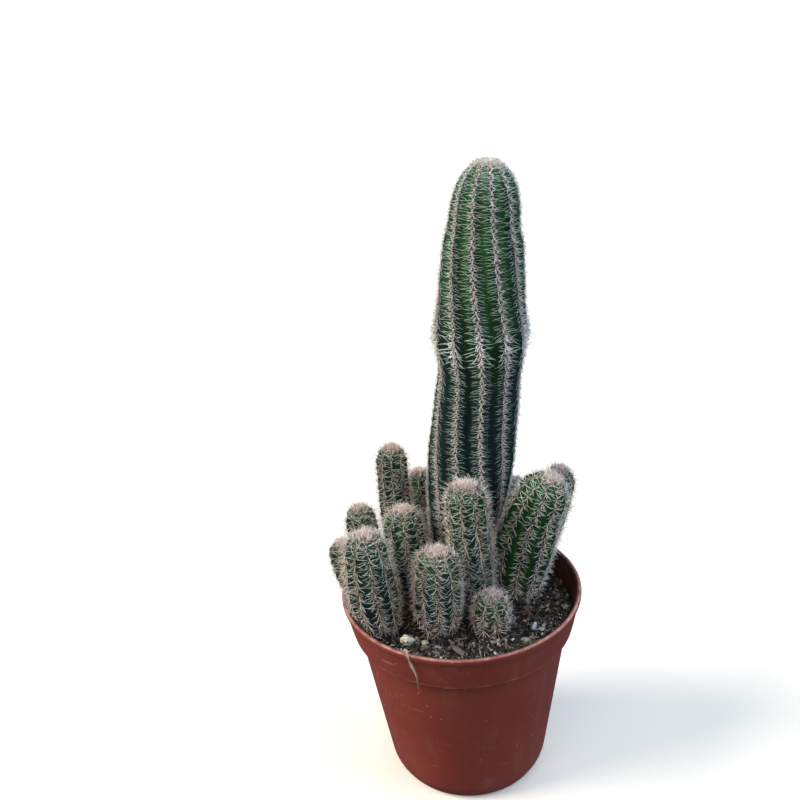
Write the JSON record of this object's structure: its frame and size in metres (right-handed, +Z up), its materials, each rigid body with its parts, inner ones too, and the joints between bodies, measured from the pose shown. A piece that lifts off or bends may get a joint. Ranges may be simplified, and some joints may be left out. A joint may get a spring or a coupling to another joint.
{
  "type": "potted tall cactus",
  "caption": "Tall ribbed column cactus with spined ribs and a ring of small offsets, rooted in soil in a tapered plastic nursery pot with a deep collar.",
  "frame": {"origin": "centre of the pot's base, on the surface that the pot stands on", "axes": "+Z up along the stem, -Y towards the front, +X to the front's right"},
  "size_m": [0.0936, 0.085, 0.2219],
  "materials": {
    "pot_plastic": "satin terracotta-brown plastic with fine scuffs",
    "soil": "dark gritty peat",
    "stem_skin": "waxy green skin with tan crests and corky brown foot",
    "spines": "pale straw needles with reddish-brown roots",
    "wool": "pinkish cream felt",
    "dry_root": "dry, fibrous",
    "pale_stone": "porous white perlite",
    "tan_stone": "matt grit",
    "bark": "matt bark"
  },
  "bodies": {
    "root": {"pot": "pot_plastic", "soil": "soil", "main_stem": "stem_skin", "offset_01": "stem_skin", "offset_02": "stem_skin", "offset_03": "stem_skin", "offset_04": "stem_skin", "offset_05": "stem_skin", "offset_06": "stem_skin", "offset_07": "stem_skin", "offset_08": "stem_skin", "offset_09": "stem_skin", "offset_10": "stem_skin", "offset_11": "stem_skin", "offset_12": "stem_skin", "perlite_stone": "pale_stone", "tan_grain": "tan_stone", "bark_chip": "bark", "dry_root": "dry_root"}
  },
  "joints": []
}
